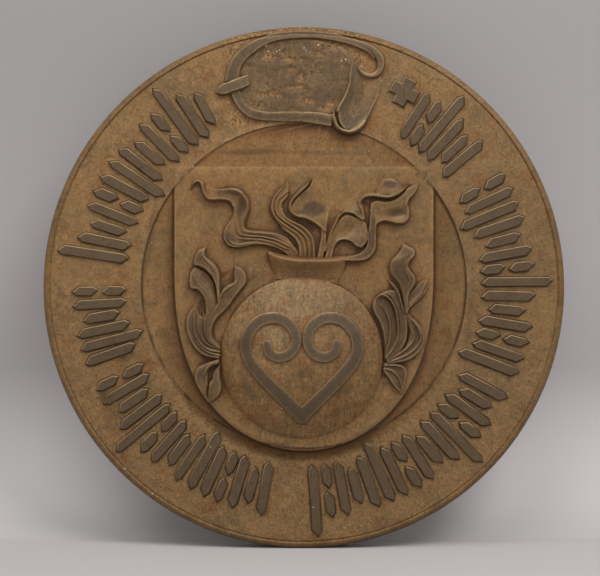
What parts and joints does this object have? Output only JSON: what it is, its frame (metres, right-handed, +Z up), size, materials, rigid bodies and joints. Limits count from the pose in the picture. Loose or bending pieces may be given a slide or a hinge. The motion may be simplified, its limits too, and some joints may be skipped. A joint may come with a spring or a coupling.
{
  "type": "coat of arms wall plaque",
  "caption": "Round cast wall plaque in relief: a shield with a flaming ball, side flames, a scroll cartouche and a ring of raised marks.",
  "frame": {"origin": "centre of the flat back face, where the plaque meets the wall", "axes": "+Y into the wall, so the relief faces -Y; +Z up; +X to the viewer's right"},
  "size_m": [0.5, 0.052, 0.5],
  "materials": {
    "patinated_cast": "painted plaster, matt ochre brown with a darker bronze-grey patina on the raised tops"
  },
  "bodies": {
    "root": {"plaque": "patinated_cast"}
  },
  "joints": []
}
